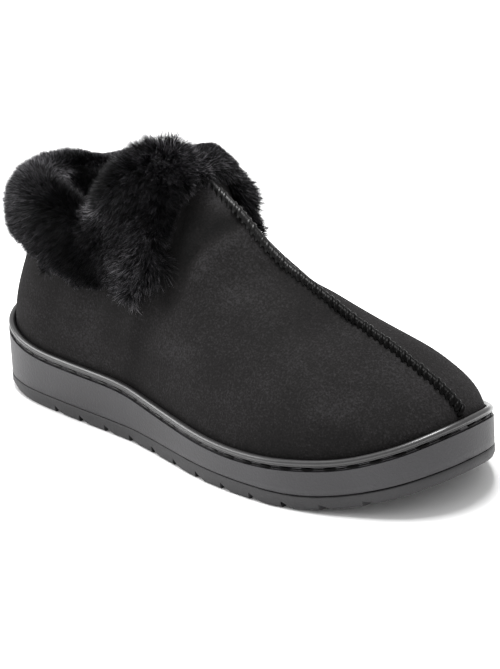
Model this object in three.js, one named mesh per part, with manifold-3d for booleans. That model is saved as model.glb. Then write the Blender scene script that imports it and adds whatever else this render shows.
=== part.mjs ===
// Bootie slipper for the right foot: a suede-cloth upper with a centre seam and a folded fur cuff,
// set in a moulded cup sole. Sizes are millimetres. +X points to the toe, +Y to the wearer's left,
// +Z up, and the origin lies on the floor under the middle of the sole.

import * as THREE from 'three';
import { mergeVertices } from 'three/addons/utils/BufferGeometryUtils.js';
import Module from 'manifold-3d';

const wasm = await Module();
wasm.setup();

// Driving sizes of the sole
const soleLength = 270;
const ballWidth = 104;
const heelWall = 31.4; // stitch groove above the floor, at the back of the heel
const toeSpring = 14.6; // lift of the outsole's tip
const springStart = 0.76; // where the outsole leaves the floor, as a share of the length
const outsoleThickness = 6.4;
const edgeFullness = 0.3; // how far the outsole's rounded edge stays out at its middle row
const insoleThickness = 4;
const clearance = 0.3; // between pieces that touch

// Driving sizes of the cup wall, its stitch groove and the welt
const cupWall = 3.4;
const grooveHeight = 1.4;
const grooveDepth = 1;
const partingChamfer = 0.4;
const weltHeight = 3.1;

// Driving sizes of the lugs
const lugPitch = 17.2;
const lugStart = 53; // first notch ahead of the heel's back edge
const lugCount = 12;
const lugDepth = 3.2;
const lugSlope = 7; // length of the sloped side of a notch

// Driving sizes of the upper
const instepHeight = 121; // front of the collar fold above the floor
const heelHeight = 96; // back of the collar fold above the floor
const collarSetback = 18; // back of the collar ahead of the sole's back edge
const collarLength = 94;
const collarWidth = 60;
const upperWall = 2.5;
const toeBend = 8; // how late the centre line bends to the toe's tip
const seamWidth = 4.4;
const seamRise = 2.2;
const seamFootLimit = 0.25; // widest the seam gets, as a share of a rib
const shoulderPlace = 0.2; // the seam's shoulder, from its foot to its crest
const shoulderRise = 0.85; // and its height as a share of the crest's

// Driving sizes of the cuff
const furDepth = 9.5; // from the upper's face to the tips
const liningDepth = 5;
const foldRise = 7; // top of the fold above the edge of the upper
const furThinning = 0.85; // how much of the fur's depth is lost at the free edge
const furEdge = 6; // how late the fur thins
const lockLength = 12;
const lockRadius = 4;
const lockSides = 5;
const lockRoot = 0.55; // depth of a lock's root as a share of the fur
const lockRows = [0.2, 0.55, 0.9]; // places of the locks between the fold and the free edge
const lockColumns = 11;
const lockShift = 0.3; // sideways step from one row of locks to the next
const combOut = 0.5; // lean of the locks outwards, and downwards at the fold and at the free edge
const combDown = [0.9, 1.1];

// How finely the forms are divided
const collarRibs = 20;
const vampRibs = 18;
const panelRows = 8;
const cuffColumns = 21;
const cuffRows = 5;
const foldSteps = 4;
const coreRows = [0, 0.33, 0.67, 1];

// The sole's edge seen from above, as shares of length and ball width from the middle line
const outline = [
  { along: 0, lateral: 0.035, medial: 0.035 },
  { along: 0.015, lateral: -0.15, medial: 0.22 },
  { along: 0.06, lateral: -0.281, medial: 0.347 },
  { along: 0.135, lateral: -0.346, medial: 0.388 },
  { along: 0.22, lateral: -0.363, medial: 0.389 },
  { along: 0.39, lateral: -0.385, medial: 0.382 },
  { along: 0.48, lateral: -0.427, medial: 0.401 },
  { along: 0.565, lateral: -0.474, medial: 0.435 },
  { along: 0.65, lateral: -0.5, medial: 0.475 },
  { along: 0.73, lateral: -0.496, medial: 0.5 },
  { along: 0.81, lateral: -0.453, medial: 0.489 },
  { along: 0.88, lateral: -0.371, medial: 0.437 },
  { along: 0.945, lateral: -0.266, medial: 0.323 },
  { along: 0.985, lateral: -0.13, medial: 0.19 },
  { along: 1, lateral: 0.018, medial: 0.018 },
];

// Heights along the sole as shares of the heel wall, and the edge's roundness as a share of the outsole
const profile = [
  { along: 0, groove: 1, bed: 0.62, round: 0.9 },
  { along: 0.1, groove: 0.81, bed: 0.61, round: 0.4 },
  { along: 0.185, groove: 0.742, bed: 0.6, round: 0.22 },
  { along: 0.333, groove: 0.735, bed: 0.52, round: 0.18 },
  { along: 0.48, groove: 0.61, bed: 0.42, round: 0.18 },
  { along: 0.667, groove: 0.525, bed: 0.34, round: 0.18 },
  { along: 0.85, groove: 0.656, bed: 0.42, round: 0.3 },
  { along: 0.94, groove: 0.89, bed: 0.6, round: 0.4 },
  { along: 1, groove: 1.14, bed: 0.78, round: 0.6 },
];

// Section of the welt: how far in from the sole's edge as a share of the cup wall, and height
const weltSection = [
  { inward: 0.12, up: 0 },
  { inward: 0.05, up: 0.22 },
  { inward: 0.16, up: 0.34 },
  { inward: 0.02, up: 0.46 },
  { inward: 0.06, up: 0.72 },
  { inward: 0.35, up: 0.98 },
  { inward: 0.75, up: 0.96 },
  { inward: 1, up: 0.6 },
  { inward: 1, up: 0 },
];

// Ribs of the upper from the back of the collar round to the throat. foot is where a rib leaves the sole,
// reach is the collar's half width, rise its height (0 at the heel height, 1 at the instep height).
// belly, lift, drop and spread shape the rib between them.
const collar = [
  { round: 0, foot: 0, reach: 0, rise: 0, belly: 0.01, lift: 0.33, drop: 0.33, spread: 0.05 },
  { round: 0.1, foot: 0.01, reach: 0.3, rise: 0, belly: 0.01, lift: 0.33, drop: 0.33, spread: 0.05 },
  { round: 0.2, foot: 0.037, reach: 0.58, rise: 0.02, belly: 0.012, lift: 0.33, drop: 0.33, spread: 0.05 },
  { round: 0.3, foot: 0.08, reach: 0.8, rise: 0.03, belly: 0.014, lift: 0.33, drop: 0.33, spread: 0.05 },
  { round: 0.4, foot: 0.13, reach: 0.93, rise: -0.01, belly: 0.016, lift: 0.34, drop: 0.33, spread: 0.06 },
  { round: 0.5, foot: 0.185, reach: 1, rise: -0.14, belly: 0.018, lift: 0.35, drop: 0.33, spread: 0.08 },
  { round: 0.6, foot: 0.24, reach: 0.97, rise: -0.24, belly: 0.02, lift: 0.37, drop: 0.32, spread: 0.12 },
  { round: 0.65, foot: 0.266, reach: 0.9, rise: 0.2, belly: 0.02, lift: 0.38, drop: 0.31, spread: 0.15 },
  { round: 0.7, foot: 0.29, reach: 0.8, rise: 0.6, belly: 0.02, lift: 0.39, drop: 0.3, spread: 0.2 },
  { round: 0.8, foot: 0.335, reach: 0.56, rise: 0.9, belly: 0.02, lift: 0.4, drop: 0.27, spread: 0.29 },
  { round: 0.9, foot: 0.37, reach: 0.29, rise: 1.02, belly: 0.02, lift: 0.41, drop: 0.23, spread: 0.38 },
  { round: 1, foot: 0.4, reach: 0, rise: 1, belly: 0.02, lift: 0.42, drop: 0.2, spread: 0.45 },
];

// Ribs of the vamp from the throat down the centre seam to the toe. rise is the seam's height
// (1 at the instep height, 0 at the welt of the toe).
const vamp = [
  { round: 0, foot: 0.4, rise: 1, belly: 0.02, lift: 0.42, drop: 0.2, spread: 0.45 },
  { round: 0.1, foot: 0.496, rise: 0.787, belly: 0.02, lift: 0.46, drop: 0.13, spread: 0.53 },
  { round: 0.2, foot: 0.589, rise: 0.58, belly: 0.018, lift: 0.48, drop: 0.12, spread: 0.56 },
  { round: 0.3, foot: 0.678, rise: 0.476, belly: 0.016, lift: 0.49, drop: 0.12, spread: 0.55 },
  { round: 0.4, foot: 0.759, rise: 0.377, belly: 0.013, lift: 0.52, drop: 0.09, spread: 0.58 },
  { round: 0.5, foot: 0.83, rise: 0.31, belly: 0.01, lift: 0.56, drop: 0.07, spread: 0.6 },
  { round: 0.6, foot: 0.889, rise: 0.239, belly: 0.008, lift: 0.58, drop: 0.06, spread: 0.62 },
  { round: 0.7, foot: 0.933, rise: 0.181, belly: 0.006, lift: 0.6, drop: 0.05, spread: 0.62 },
  { round: 0.8, foot: 0.963, rise: 0.124, belly: 0.004, lift: 0.6, drop: 0.05, spread: 0.6 },
  { round: 0.9, foot: 0.985, rise: 0.067, belly: 0.002, lift: 0.6, drop: 0.05, spread: 0.6 },
  { round: 1, foot: 1, rise: 0, belly: 0, lift: 0.6, drop: 0.05, spread: 0.6 },
];

// The cuff from the back to the throat: the rib and the height on it where the outside ends (a rib above 1
// is on the vamp), how deep its fur is and how high its fold as shares, how much higher the fold is on the
// outer side than on the inner (tilt), and where the lining inside ends
const cuffEdge = [
  { round: 0, rib: 0, height: 0.72, fur: 1.3, fold: 1, tilt: 0, inner: 0, innerEnd: 0.8 },
  { round: 0.2, rib: 0.2, height: 0.73, fur: 1.3, fold: 1, tilt: 0, inner: 0.2, innerEnd: 0.8 },
  { round: 0.3, rib: 0.3, height: 0.74, fur: 1.32, fold: 1, tilt: 0, inner: 0.3, innerEnd: 0.8 },
  { round: 0.4, rib: 0.4, height: 0.7, fur: 1.3, fold: 1, tilt: 0, inner: 0.4, innerEnd: 0.8 },
  { round: 0.5, rib: 0.52, height: 0.62, fur: 1.1, fold: 0.95, tilt: 0, inner: 0.5, innerEnd: 0.8 },
  { round: 0.57, rib: 0.61, height: 0.54, fur: 0.86, fold: 0.9, tilt: 0, inner: 0.57, innerEnd: 0.8 },
  { round: 0.63, rib: 0.69, height: 0.48, fur: 0.95, fold: 1.15, tilt: 0.15, inner: 0.63, innerEnd: 0.81 },
  { round: 0.7, rib: 0.78, height: 0.41, fur: 1.25, fold: 1.45, tilt: 0.3, inner: 0.7, innerEnd: 0.82 },
  { round: 0.78, rib: 0.87, height: 0.37, fur: 1.2, fold: 1.35, tilt: 0.42, inner: 0.79, innerEnd: 0.84 },
  { round: 0.84, rib: 0.93, height: 0.355, fur: 1.1, fold: 1.25, tilt: 0.5, inner: 0.86, innerEnd: 0.86 },
  { round: 0.88, rib: 0.975, height: 0.4, fur: 0.95, fold: 1.1, tilt: 0.55, inner: 0.91, innerEnd: 0.88 },
  { round: 0.92, rib: 0.985, height: 0.54, fur: 0.75, fold: 0.85, tilt: 0.5, inner: 0.96, innerEnd: 0.91 },
  { round: 0.96, rib: 0.97, height: 0.8, fur: 0.5, fold: 0.6, tilt: 0.3, inner: 1, innerEnd: 0.95 },
  { round: 1, rib: 1.02, height: 1, fur: 0.4, fold: 0.5, tilt: 0, inner: 1.03, innerEnd: 1 },
];

// Inner side of the cuff: place from the fold to the lining's end, and depth as a share of the lining
const lining = [
  { fall: 0.6, depth: 0.9 },
  { fall: 1, depth: 0.5 },
];

// Where the seam stands up between the cuff and the welt, in rounds past the throat
const seamSpan = { start: 1.065, full: 1.105, fade: 1.9, end: 1.98 };

// Where the collar's edge starts to lean back to the throat, and where the seam's leaves off
const leanSpan = { start: 0.6, end: 1.15 };

const middle = soleLength / 2;
const tiny = 1e-3;
const up = new THREE.Vector3(0, 0, 1);
const { lerp, smoothstep } = THREE.MathUtils;

// A smooth line through one column of a table, which never swings past its rows
function column(rows, by, name) {
  const at = rows.map((row) => row[by]);
  const value = rows.map((row) => row[name]);
  const slopes = at.slice(1).map((next, i) => (value[i + 1] - value[i]) / (next - at[i]));
  const tangents = at.map((_, i) => {
    const before = slopes[Math.max(i - 1, 0)];
    const after = slopes[Math.min(i, slopes.length - 1)];
    return before * after <= 0 ? 0 : (2 * before * after) / (before + after);
  });
  return (place) => {
    let i = 0;
    while (i < slopes.length - 1 && place > at[i + 1]) i += 1;
    const span = at[i + 1] - at[i];
    const t = THREE.MathUtils.clamp((place - at[i]) / span, 0, 1);
    const start = value[i] + tangents[i] * span * t * (1 - t) * (1 - t);
    const end = -tangents[i + 1] * span * t * t * (1 - t);
    return start + (value[i + 1] - value[i]) * t * t * (3 - 2 * t) + end;
  };
}

function columns(rows, by, names) {
  return Object.fromEntries(names.map((name) => [name, column(rows, by, name)]));
}

// The edge is followed by its turn, an angle from 0 at the heel to pi at the toe, so its ends come out round
const turnOf = (along) => Math.acos(1 - 2 * along);
const outlineTurns = outline.map((row) => ({ ...row, turn: turnOf(row.along) }));
const sides = columns(outlineTurns, 'turn', ['lateral', 'medial']);
const shares = columns(profile, 'along', ['groove', 'bed', 'round']);
const alongOf = (x) => x / soleLength + 0.5;

// Heights over the length
const springAt = (x) => {
  const share = Math.max(alongOf(x) - springStart, 0) / (1 - springStart);
  return toeSpring * share * share;
};
const partingAt = (x) => springAt(x) + outsoleThickness;
const grooveAt = (x) => heelWall * shares.groove(alongOf(x));
const rimAt = (x) => grooveAt(x) + grooveHeight / 2;
const bedAt = (x) => heelWall * shares.bed(alongOf(x));
const roundAt = (x) => outsoleThickness * shares.round(alongOf(x));

// A point on the sole's edge, moved inwards by inset. side is -1 on the outer side and 1 on the inner
function edge(side, turn, inset) {
  const across = side < 0 ? sides.lateral : sides.medial;
  const x = -middle * Math.cos(turn);
  const y = ballWidth * across(turn);
  const dx = middle * Math.sin(turn);
  const dy = ballWidth * (across(turn + tiny) - across(turn - tiny)) / (2 * tiny);
  const inward = new THREE.Vector2(side * dy, -side * dx).normalize();
  return new THREE.Vector2(x, y).addScaledVector(inward, inset);
}

// Every loop round the sole has its corners at the feet of the upper's ribs, so the pieces' faces run
// parallel. Rib 0 to 1 goes round the collar, 1 to 2 down the vamp.
const shapes = ['foot', 'rise', 'belly', 'lift', 'drop', 'spread'];
const collarAt = columns(collar, 'round', [...shapes, 'reach']);
const vampAt = columns(vamp, 'round', shapes);
const ribs = [];
for (let i = 0; i <= collarRibs; i += 1) ribs.push(i / collarRibs);
for (let i = 1; i <= vampRibs; i += 1) ribs.push(1 + i / vampRibs);

const ribShape = (rib, name) => (rib > 1 ? vampAt[name](rib - 1) : collarAt[name](rib));

// Where a rib leaves the sole: a point inset from the edge, at a height given over the length
function footOf(side, rib, inset, heightAt) {
  const turn = turnOf(Math.min(ribShape(rib, 'foot'), 1));
  const outer = edge(side, turn, 0);
  const place = edge(side, turn, inset(outer.x));
  return new THREE.Vector3(place.x, place.y, heightAt(outer.x));
}

// A closed loop round the sole at an inset and a height, both given over the length
function loop(inset, heightAt) {
  const lateral = ribs.map((rib) => footOf(-1, rib, inset, heightAt));
  const medial = ribs.slice(1, -1).reverse().map((rib) => footOf(1, rib, inset, heightAt));
  return [...lateral, ...medial];
}

// Triangles between two rows of points of equal count, closed into a ring or left open
function band(lower, upper, closed) {
  const triangles = [];
  const count = closed ? lower.length : lower.length - 1;
  for (let i = 0; i < count; i += 1) {
    const j = (i + 1) % lower.length;
    triangles.push([lower[i], lower[j], upper[j]], [lower[i], upper[j], upper[i]]);
  }
  return triangles;
}

// Triangles across a loop, rung by rung from the heel to the toe
function rungs(points) {
  const triangles = [];
  const count = points.length;
  for (let i = 0; i < count / 2; i += 1) {
    const outer = [points[i], points[i + 1]];
    const inner = [points[(count - i) % count], points[count - i - 1]];
    triangles.push([outer[0], outer[1], inner[1]], [outer[0], inner[1], inner[0]]);
  }
  return triangles;
}

const flipped = (triangles) => triangles.map(([a, b, c]) => [a, c, b]);

// A solid of stacked loops, with its ends closed by rungs
function stack(loops) {
  const walls = loops.slice(1).flatMap((points, i) => band(loops[i], points, true));
  return [...flipped(rungs(loops[0])), ...walls, ...rungs(loops.at(-1))];
}

// A ring whose section runs through the loops and back to the first
function ring(loops) {
  return loops.flatMap((points, i) => band(points, loops[(i + 1) % loops.length], true));
}

// One closed geometry of triangles, without those that have shrunk to a line
function geometryOf(triangles) {
  const key = (point) => point.toArray().map((value) => Math.round(value * 1000)).join(' ');
  const whole = triangles.filter((corners) => new Set(corners.map(key)).size === 3);
  const positions = whole.flat().flatMap((point) => point.toArray());
  const geometry = new THREE.BufferGeometry();
  geometry.setAttribute('position', new THREE.Float32BufferAttribute(positions, 3));
  return mergeVertices(geometry, tiny);
}

function manifoldOf(geometry) {
  const source = geometry.clone();
  source.deleteAttribute('normal');
  source.deleteAttribute('uv');
  const merged = mergeVertices(source, tiny);
  const vertProperties = new Float32Array(merged.attributes.position.array);
  const triVerts = new Uint32Array(merged.index.array);
  return new wasm.Manifold(new wasm.Mesh({ numProp: 3, vertProperties, triVerts }));
}

function geometryFrom(solid) {
  const mesh = solid.getMesh();
  const geometry = new THREE.BufferGeometry();
  geometry.setAttribute('position', new THREE.Float32BufferAttribute(mesh.vertProperties, 3));
  geometry.setIndex([...mesh.triVerts]);
  return geometry;
}

function piece(name, geometry, color, roughness) {
  geometry.computeVertexNormals();
  const material = new THREE.MeshStandardMaterial({ color, roughness, metalness: 0 });
  const mesh = new THREE.Mesh(geometry, material);
  mesh.name = name;
  return mesh;
}

// Outsole: a slab with rounded edges, notched across by a row of saw-tooth grooves
function notch(x) {
  const reach = ballWidth;
  const side = (y) => [
    new THREE.Vector3(x, y, -lugDepth),
    new THREE.Vector3(x + lugSlope, y, springAt(x + lugSlope) - lugDepth),
    new THREE.Vector3(x + lugSlope, y, springAt(x + lugSlope)),
    new THREE.Vector3(x, y, springAt(x) + lugDepth),
  ];
  const near = side(-reach);
  const far = side(reach);
  const faces = [[0, 1, 2], [0, 2, 3]];
  const ends = faces.flatMap(([a, b, c]) => [[near[a], near[b], near[c]], [far[a], far[c], far[b]]]);
  return geometryOf([...ends, ...flipped(band(near, far, true))]);
}

function outsole() {
  const body = manifoldOf(geometryOf(stack([
    loop((x) => roundAt(x), springAt),
    loop((x) => roundAt(x) * edgeFullness, (x) => springAt(x) + roundAt(x) * edgeFullness),
    loop(() => 0, (x) => springAt(x) + roundAt(x)),
    loop(() => 0, (x) => partingAt(x) - partingChamfer),
    loop(() => partingChamfer, partingAt),
  ])));
  let lugs = body;
  for (let k = 0; k < lugCount; k += 1) {
    lugs = lugs.subtract(manifoldOf(notch(lugStart + lugPitch * k - middle)));
  }
  return geometryFrom(lugs);
}

// Midsole: a cup with the stitch groove let into the top of its wall
function midsole() {
  return geometryOf(stack([
    loop(() => partingChamfer, (x) => partingAt(x) + clearance),
    loop(() => 0, (x) => partingAt(x) + clearance + partingChamfer),
    loop(() => 0, (x) => grooveAt(x) - grooveHeight / 2),
    loop(() => grooveDepth, (x) => grooveAt(x) - grooveHeight / 2),
    loop(() => grooveDepth, rimAt),
    loop(() => cupWall, rimAt),
    loop(() => cupWall, bedAt),
  ]));
}

function welt() {
  return geometryOf(ring(weltSection.map(({ inward, up: share }) =>
    loop(() => cupWall * inward, (x) => rimAt(x) + clearance + weltHeight * share))));
}

// Upper: ribs run from the sole's edge up to the collar or to the centre seam
const upperInset = cupWall + clearance;
const heelLine = ballWidth * outline[0].lateral;
const toeLine = ballWidth * outline.at(-1).lateral;
const collarBack = collarSetback - middle;
const collarFront = collarBack + collarLength;
const toeEnd = middle - upperInset;

// The centre seam runs straight and bends to the toe's tip near its end
function centreLine(x) {
  return lerp(heelLine, toeLine, alongOf(x) ** toeBend);
}

// The top of a rib, on the collar or on the seam
function ribTop(side, rib) {
  if (rib <= 1) {
    const x = (collarBack + collarFront) / 2 - (collarLength / 2) * Math.cos(Math.PI * rib);
    const z = lerp(heelHeight, instepHeight, collarAt.rise(rib));
    return new THREE.Vector3(x, centreLine(x) + side * collarWidth / 2 * collarAt.reach(rib), z);
  }
  const x = lerp(collarFront, toeEnd, Math.sin((Math.PI / 2) * (rib - 1)));
  return new THREE.Vector3(x, centreLine(x), lerp(rimAt(toeEnd), instepHeight, vampAt.rise(rib - 1)));
}

// Direction of the seam at a rib, up and back towards the throat
function seamDirection(rib) {
  const low = ribTop(1, Math.min(rib + tiny, 2));
  const high = ribTop(1, Math.max(rib - tiny, 1 + tiny / 2));
  return high.sub(low).setY(0).normalize();
}

// At a rib's top: rise points on past its end, outward away from the foot inside
function topFrame(side, rib) {
  if (rib > 1) {
    const along = seamDirection(rib);
    const outward = new THREE.Vector3(along.z, 0, -along.x);
    const rise = along.clone().lerp(up, smoothstep(rib, 1, leanSpan.end)).normalize();
    return { rise, outward };
  }
  const lean = smoothstep(rib, leanSpan.start, 1);
  const rise = up.clone().lerp(seamDirection(1), lean).normalize();
  const tangent = new THREE.Vector3(0, rib < 0.5 ? side : -side, 0);
  if (rib > 0 && rib < 1) {
    tangent.subVectors(ribTop(side, Math.min(rib + tiny, 1)), ribTop(side, Math.max(rib - tiny, 0)));
  }
  tangent.normalize();
  rise.addScaledVector(tangent, -rise.dot(tangent)).normalize();
  return { rise, outward: tangent.cross(rise).multiplyScalar(-side).normalize() };
}

// A point of the upper: rib round the shoe, height 0 at the sole's rim to 1 at the rib's top,
// and depth inwards from the outer face, negative outside it
function onUpper(side, rib, height, depth) {
  const start = footOf(side, rib, () => upperInset + depth, rimAt);
  const edgePoint = footOf(side, rib, () => 0, rimAt);
  const { rise, outward } = topFrame(side, rib);
  const end = ribTop(side, rib).addScaledVector(outward, -depth);
  const across = new THREE.Vector3(start.x - end.x, start.y - end.y, 0);
  const tall = end.z - start.z;
  const away = edgePoint.sub(start).normalize();
  const low = start.clone().addScaledVector(up, tall * ribShape(rib, 'lift'));
  low.addScaledVector(away, ballWidth * ribShape(rib, 'belly'));
  const high = end.clone().addScaledVector(rise, -tall * ribShape(rib, 'drop'));
  high.addScaledVector(across, ribShape(rib, 'spread'));
  return new THREE.CubicBezierCurve3(start, low, high, end).getPoint(height);
}

// The seam stands up between the cuff and the welt, and fades out under both
function seamLift(rib) {
  const rising = smoothstep(rib, seamSpan.start, seamSpan.full);
  return seamRise * rising * (1 - smoothstep(rib, seamSpan.fade, seamSpan.end));
}

// Height on a rib of the foot of the seam
function seamFoot(side, rib) {
  const top = ribTop(side, rib);
  const foot = onUpper(side, rib, 0, 0);
  const width = Math.hypot(top.x - foot.x, top.y - foot.y);
  const flatness = 3 * width * ribShape(rib, 'spread'); // speed of the rib's curve at its top
  return 1 - Math.min(seamWidth / 2 / (flatness + tiny), seamFootLimit);
}

// A row of points over all ribs: low rows up the panel, then the seam's shoulder and its crest.
// over lifts the collar's edge.
function panelRow(side, row, depth, over) {
  return ribs.map((rib) => {
    const foot = seamFoot(side, rib);
    if (row <= panelRows) return onUpper(side, rib, (foot * row) / panelRows, depth);
    const crest = row === panelRows + 2;
    const point = onUpper(side, rib, lerp(foot, 1, crest ? 1 : shoulderPlace), depth);
    const { rise, outward } = topFrame(side, rib);
    if (crest && rib <= 1) point.addScaledVector(rise, over);
    const lift = depth > 0 ? 0 : seamLift(rib) * (crest ? 1 : shoulderRise);
    return point.addScaledVector(outward, lift);
  });
}

function bottomRow(side, depth) {
  return ribs.map((rib) => footOf(side, rib, () => upperInset + depth, (x) => bedAt(x) + clearance));
}

// The hollow shell between two depths, open at the collar and underneath
function shell(outerDepth, innerDepth, over) {
  const triangles = [];
  for (const side of [-1, 1]) {
    const rows = (depth) => {
      const panel = Array.from({ length: panelRows + 3 }, (_, row) => panelRow(side, row, depth, over));
      return [bottomRow(side, depth), ...panel];
    };
    const outer = rows(outerDepth);
    const inner = rows(innerDepth);
    const faces = [];
    for (let row = 1; row < outer.length; row += 1) {
      faces.push(...band(outer[row - 1], outer[row], false));
      faces.push(...flipped(band(inner[row - 1], inner[row], false)));
    }
    const rim = collarRibs + 1;
    faces.push(...band(outer.at(-1).slice(0, rim), inner.at(-1).slice(0, rim), false));
    faces.push(...flipped(band(outer[0], inner[0], false)));
    triangles.push(...(side < 0 ? faces : flipped(faces)));
  }
  return geometryOf(triangles);
}

const upper = () => shell(0, upperWall, 0);

// Insole: a footbed in the cup, inside the upper
function insole() {
  const inset = upperInset + upperWall + clearance;
  const edgeRound = insoleThickness / 4;
  return geometryOf(stack([
    loop(() => inset, (x) => bedAt(x) + clearance),
    loop(() => inset, (x) => bedAt(x) + clearance + insoleThickness - edgeRound),
    loop(() => inset + edgeRound, (x) => bedAt(x) + clearance + insoleThickness),
  ]));
}

// Cuff: a pelt folded over the collar, cut from the upper's own ribs
const cuffAt = columns(
  cuffEdge,
  'round',
  ['rib', 'height', 'fur', 'fold', 'tilt', 'inner', 'innerEnd'],
);

// Depth of the fur, which thins towards the free edge, and at the fold where this is low on the inner side
function furAt(side, round, fall) {
  const pressed = side > 0 ? cuffAt.tilt(round) * (1 - fall) : 0;
  return furDepth * cuffAt.fur(round) * (1 - pressed) * Math.sqrt(1 - furThinning * fall ** furEdge);
}

// A point of the pelt outside the upper: fall is 0 at the fold and 1 at the free edge
function outside(side, round, fall, fur) {
  const rib = lerp(round, cuffAt.rib(round), fall);
  return onUpper(side, rib, lerp(1, cuffAt.height(round), fall), -fur);
}

function inside(side, round, fall, fur) {
  const rib = lerp(round, cuffAt.inner(round), fall);
  return onUpper(side, rib, lerp(1, cuffAt.innerEnd(round), fall), upperWall + fur);
}

// A point in the middle of the upper's wall, from the lining's end to the free edge
function core(side, round, fall) {
  const rib = lerp(cuffAt.inner(round), cuffAt.rib(round), fall);
  return onUpper(side, rib, lerp(cuffAt.innerEnd(round), cuffAt.height(round), fall), upperWall / 2);
}

// A point of the fold: angle 0 outside, pi inside, on an oval round the upper's edge
function fold(side, round, angle) {
  const { rise, outward } = topFrame(side, round);
  const reach = upperWall / 2 + (angle < Math.PI / 2 ? furAt(side, round, 0) : liningDepth);
  const point = ribTop(side, round).addScaledVector(outward, reach * Math.cos(angle) - upperWall / 2);
  const height = foldRise * cuffAt.fold(round) * (1 - side * cuffAt.tilt(round));
  return point.addScaledVector(rise, height * Math.sin(angle));
}

function cuffLoop(pointAt) {
  const points = [];
  for (let i = 0; i <= cuffColumns; i += 1) points.push(pointAt(-1, i / cuffColumns));
  for (let i = cuffColumns - 1; i > 0; i -= 1) points.push(pointAt(1, i / cuffColumns));
  return points;
}

// The pelt's outer form, filled to the middle of the upper's wall
function pelt() {
  const loops = [];
  for (let row = cuffRows; row > 0; row -= 1) {
    const fall = row / cuffRows;
    loops.push(cuffLoop((side, round) => outside(side, round, fall, furAt(side, round, fall))));
  }
  for (let turn = 0; turn <= foldSteps; turn += 1) {
    loops.push(cuffLoop((side, round) => fold(side, round, (Math.PI * turn) / foldSteps)));
  }
  for (const { fall, depth } of lining) {
    loops.push(cuffLoop((side, round) => inside(side, round, fall, liningDepth * depth)));
  }
  for (const fall of coreRows) loops.push(cuffLoop((side, round) => core(side, round, fall)));
  return geometryOf(ring(loops));
}

// A lock of fur, rooted in the pelt and combed outwards and down
function lock(side, round, fall) {
  const depth = furAt(side, round, fall);
  const root = outside(side, round, fall, depth * lockRoot);
  const comb = outside(side, round, fall, depth).sub(root).normalize().multiplyScalar(combOut);
  const down = outside(side, round, fall, 1).sub(outside(side, round, fall - lockShift / 4, 1)).normalize();
  comb.addScaledVector(down, lerp(...combDown, fall)).normalize();
  const cone = new THREE.ConeGeometry(lockRadius, lockLength, lockSides);
  cone.translate(0, lockLength / 2, 0);
  cone.applyQuaternion(new THREE.Quaternion().setFromUnitVectors(new THREE.Vector3(0, 1, 0), comb));
  cone.translate(...root.toArray());
  return manifoldOf(cone);
}

// The pelt with its locks, freed from the upper, of which only the main body is kept
function cuff() {
  let solid = manifoldOf(pelt());
  for (const side of [-1, 1]) {
    lockRows.forEach((fall, row) => {
      for (let i = 0; i < lockColumns; i += 1) {
        solid = solid.add(lock(side, (i + lockShift * (row + 1)) / lockColumns, fall));
      }
    });
  }
  const freed = solid.subtract(manifoldOf(shell(-clearance, upperWall + clearance, clearance)));
  return geometryFrom(freed.decompose().sort((a, b) => b.volume() - a.volume())[0]);
}

const slipper = new THREE.Group();
slipper.add(piece('outsole', outsole(), 0x4b4b4f, 0.6));
slipper.add(piece('midsole', midsole(), 0x59585e, 0.55));
slipper.add(piece('welt', welt(), 0x6f6c68, 0.35));
slipper.add(piece('insole', insole(), 0x1c1b1d, 0.95));
slipper.add(piece('upper', upper(), 0x2a2829, 0.9));
slipper.add(piece('cuff', cuff(), 0x17171a, 0.95));

export default slipper;
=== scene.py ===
# %% [markdown]
# # A bootie slipper with a fur cuff
# This lesson dresses the solids of a bootie slipper. The solids give the true form: a cup sole with
# lugs, a hollow upper with a raised centre seam, and a cuff that folds over its edge. What they
# leave out is made here: the soft creases and nap of suede cloth, the overcast stitches, the dashed
# stitching round the sole, the grain and gloss of moulded rubber, and the fur, hair by hair.
#
# Lengths are metres. +X points to the toe, +Y to the inner side of this right shoe, +Z up.

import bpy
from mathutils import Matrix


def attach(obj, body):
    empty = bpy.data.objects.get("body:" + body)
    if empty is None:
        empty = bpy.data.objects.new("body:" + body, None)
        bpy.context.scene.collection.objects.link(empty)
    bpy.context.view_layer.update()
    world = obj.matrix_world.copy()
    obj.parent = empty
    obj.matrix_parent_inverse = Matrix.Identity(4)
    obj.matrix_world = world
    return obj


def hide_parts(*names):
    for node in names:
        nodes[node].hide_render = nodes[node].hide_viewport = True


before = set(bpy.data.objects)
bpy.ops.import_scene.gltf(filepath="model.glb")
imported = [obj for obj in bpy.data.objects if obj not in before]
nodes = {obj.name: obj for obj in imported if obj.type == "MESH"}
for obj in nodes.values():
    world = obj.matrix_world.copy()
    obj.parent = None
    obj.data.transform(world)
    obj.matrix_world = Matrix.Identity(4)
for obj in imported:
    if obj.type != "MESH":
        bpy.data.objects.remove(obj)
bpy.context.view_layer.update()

import math

import bpy
import numpy as np
from mathutils import Matrix, Vector
from mathutils.bvhtree import BVHTree
from mathutils.kdtree import KDTree

MM = 0.001
print("solids:", sorted(nodes))

# %% [markdown]
# ## A few helpers
# An operator acts on everything that is selected, so each step first selects its own piece alone. A
# solid arrives as loose triangles. A copy of it is merged by distance, and pairs of triangles
# become quads, because subdivision rounds quads evenly.


# %% Select, copy and finish a piece
def pick(piece):
    """Selects one object alone and makes it active."""
    for other in bpy.context.selected_objects:
        other.select_set(False)
    piece.select_set(True)
    bpy.context.view_layer.objects.active = piece
    return piece


def edit_all(piece, step, **settings):
    """Runs one edit-mode operator on the whole mesh of a piece."""
    pick(piece)
    bpy.ops.object.mode_set(mode="EDIT")
    bpy.ops.mesh.select_all(action="SELECT")
    step(**settings)
    bpy.ops.object.mode_set(mode="OBJECT")


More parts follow.
